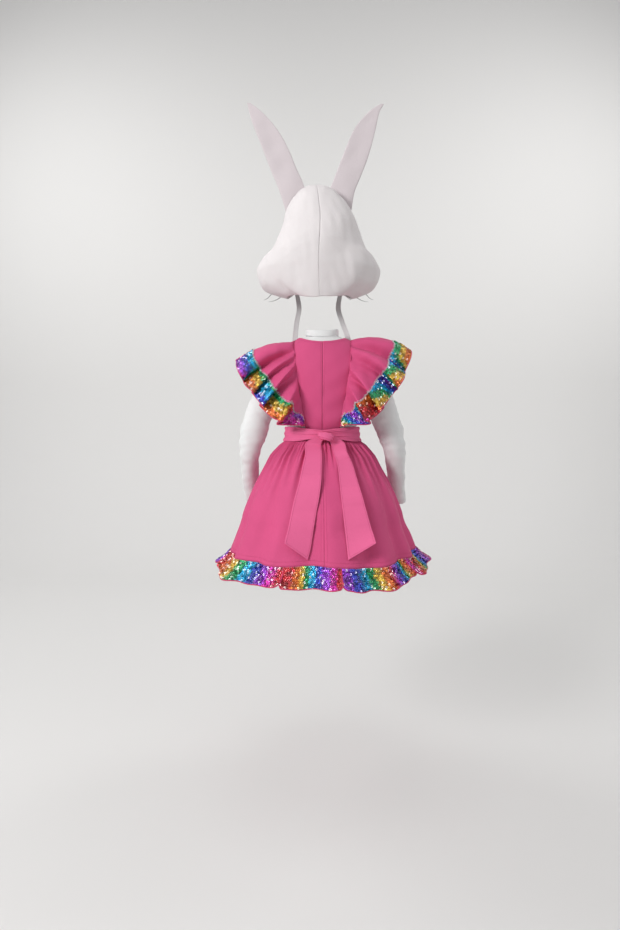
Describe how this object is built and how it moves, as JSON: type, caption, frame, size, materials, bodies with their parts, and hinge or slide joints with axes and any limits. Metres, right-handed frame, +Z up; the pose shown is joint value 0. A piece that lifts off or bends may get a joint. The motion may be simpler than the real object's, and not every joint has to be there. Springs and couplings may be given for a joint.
{
  "type": "rabbit mascot costume for a child",
  "caption": "Child's rabbit mascot costume: white hood with ears, white long-sleeved top and a pink pinafore dress with rainbow sequin ruffles and a tied sash.",
  "frame": {"origin": "between the shoulders at the base of the neck, where the costume hangs on its wearer", "axes": "+Z up, +Y to the wearer's front (the picture shows the back, seen from -Y), +X to the right in the picture"},
  "size_m": [0.5991, 0.5638, 1.2956],
  "materials": {
    "hood_cloth": "brushed white cloth over foam",
    "top_cloth": "fine white knit",
    "dress_cloth": "pink woven cloth",
    "sash_cloth": "pink woven cloth, double",
    "sequin_cloth": "rainbow sequins on mesh",
    "ribbon_cloth": "white satin ribbon",
    "whisker_plastic": "thin dark plastic thread"
  },
  "bodies": {
    "root": {"hood_left": "hood_cloth", "hood_right": "hood_cloth", "hood_front": "hood_cloth", "ear_left_back": "hood_cloth", "ear_left_front": "hood_cloth", "ear_right_back": "hood_cloth", "ear_right_front": "hood_cloth", "ribbon_left": "ribbon_cloth", "ribbon_right": "ribbon_cloth", "whisker_left_upper": "whisker_plastic", "whisker_left_lower": "whisker_plastic", "whisker_right_upper": "whisker_plastic", "whisker_right_lower": "whisker_plastic", "shirt_front": "top_cloth", "shirt_back": "top_cloth", "shirt_collar": "top_cloth", "shirt_sleeve_left": "top_cloth", "shirt_sleeve_right": "top_cloth", "bodice_front": "dress_cloth", "bodice_back_left": "dress_cloth", "bodice_back_right": "dress_cloth", "ruffle_left": "dress_cloth", "ruffle_right": "dress_cloth", "skirt_front": "dress_cloth", "skirt_back_left": "dress_cloth", "skirt_back_right": "dress_cloth", "sash_band": "sash_cloth", "sash_knot": "sash_cloth", "sash_tail_left": "sash_cloth", "sash_tail_right": "sash_cloth", "sequin_band_left": "sequin_cloth", "sequin_band_right": "sequin_cloth", "hem_strip_1": "sequin_cloth", "hem_strip_2": "sequin_cloth", "hem_strip_3": "sequin_cloth", "hem_strip_4": "sequin_cloth", "hem_strip_5": "sequin_cloth", "hem_strip_6": "sequin_cloth", "hem_strip_7": "sequin_cloth", "hem_strip_8": "sequin_cloth"}
  },
  "joints": []
}
